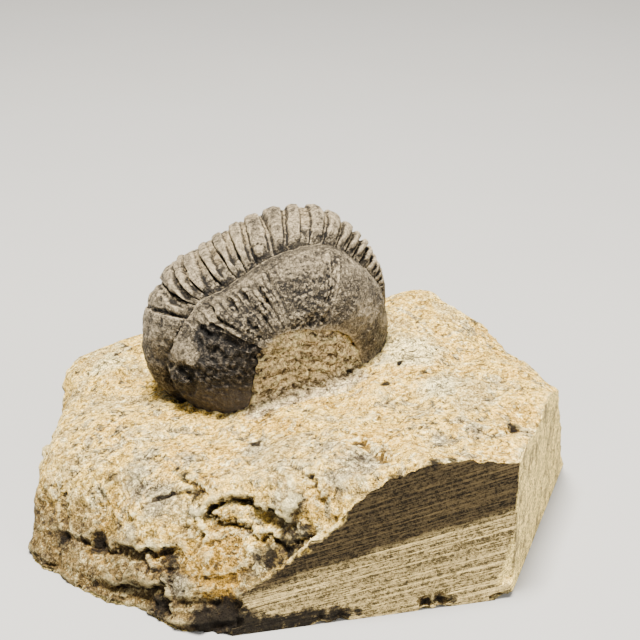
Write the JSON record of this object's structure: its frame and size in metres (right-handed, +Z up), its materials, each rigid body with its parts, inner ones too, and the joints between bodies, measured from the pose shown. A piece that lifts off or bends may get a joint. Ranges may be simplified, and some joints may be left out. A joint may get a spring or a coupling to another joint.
{
  "type": "trilobite fossil",
  "caption": "Enrolled trilobite on a loose block of limestone matrix with rough natural faces, a sawn front and a sawn side, resting on its flat base.",
  "frame": {"origin": "under the middle of the whole piece, on the block's flat base", "axes": "+X along the block's long side, from the fossil's head end to its tail end; +Y from the sawn front face to the back; +Z up"},
  "size_m": [0.0558, 0.0464, 0.0293],
  "materials": {
    "fossil_calcite": "dark grey calcite, dull with a faint waxy sheen",
    "limestone": "pale rough limestone, matt"
  },
  "bodies": {
    "root": {"trilobite": "fossil_calcite", "matrix_rock": "limestone"}
  },
  "joints": []
}
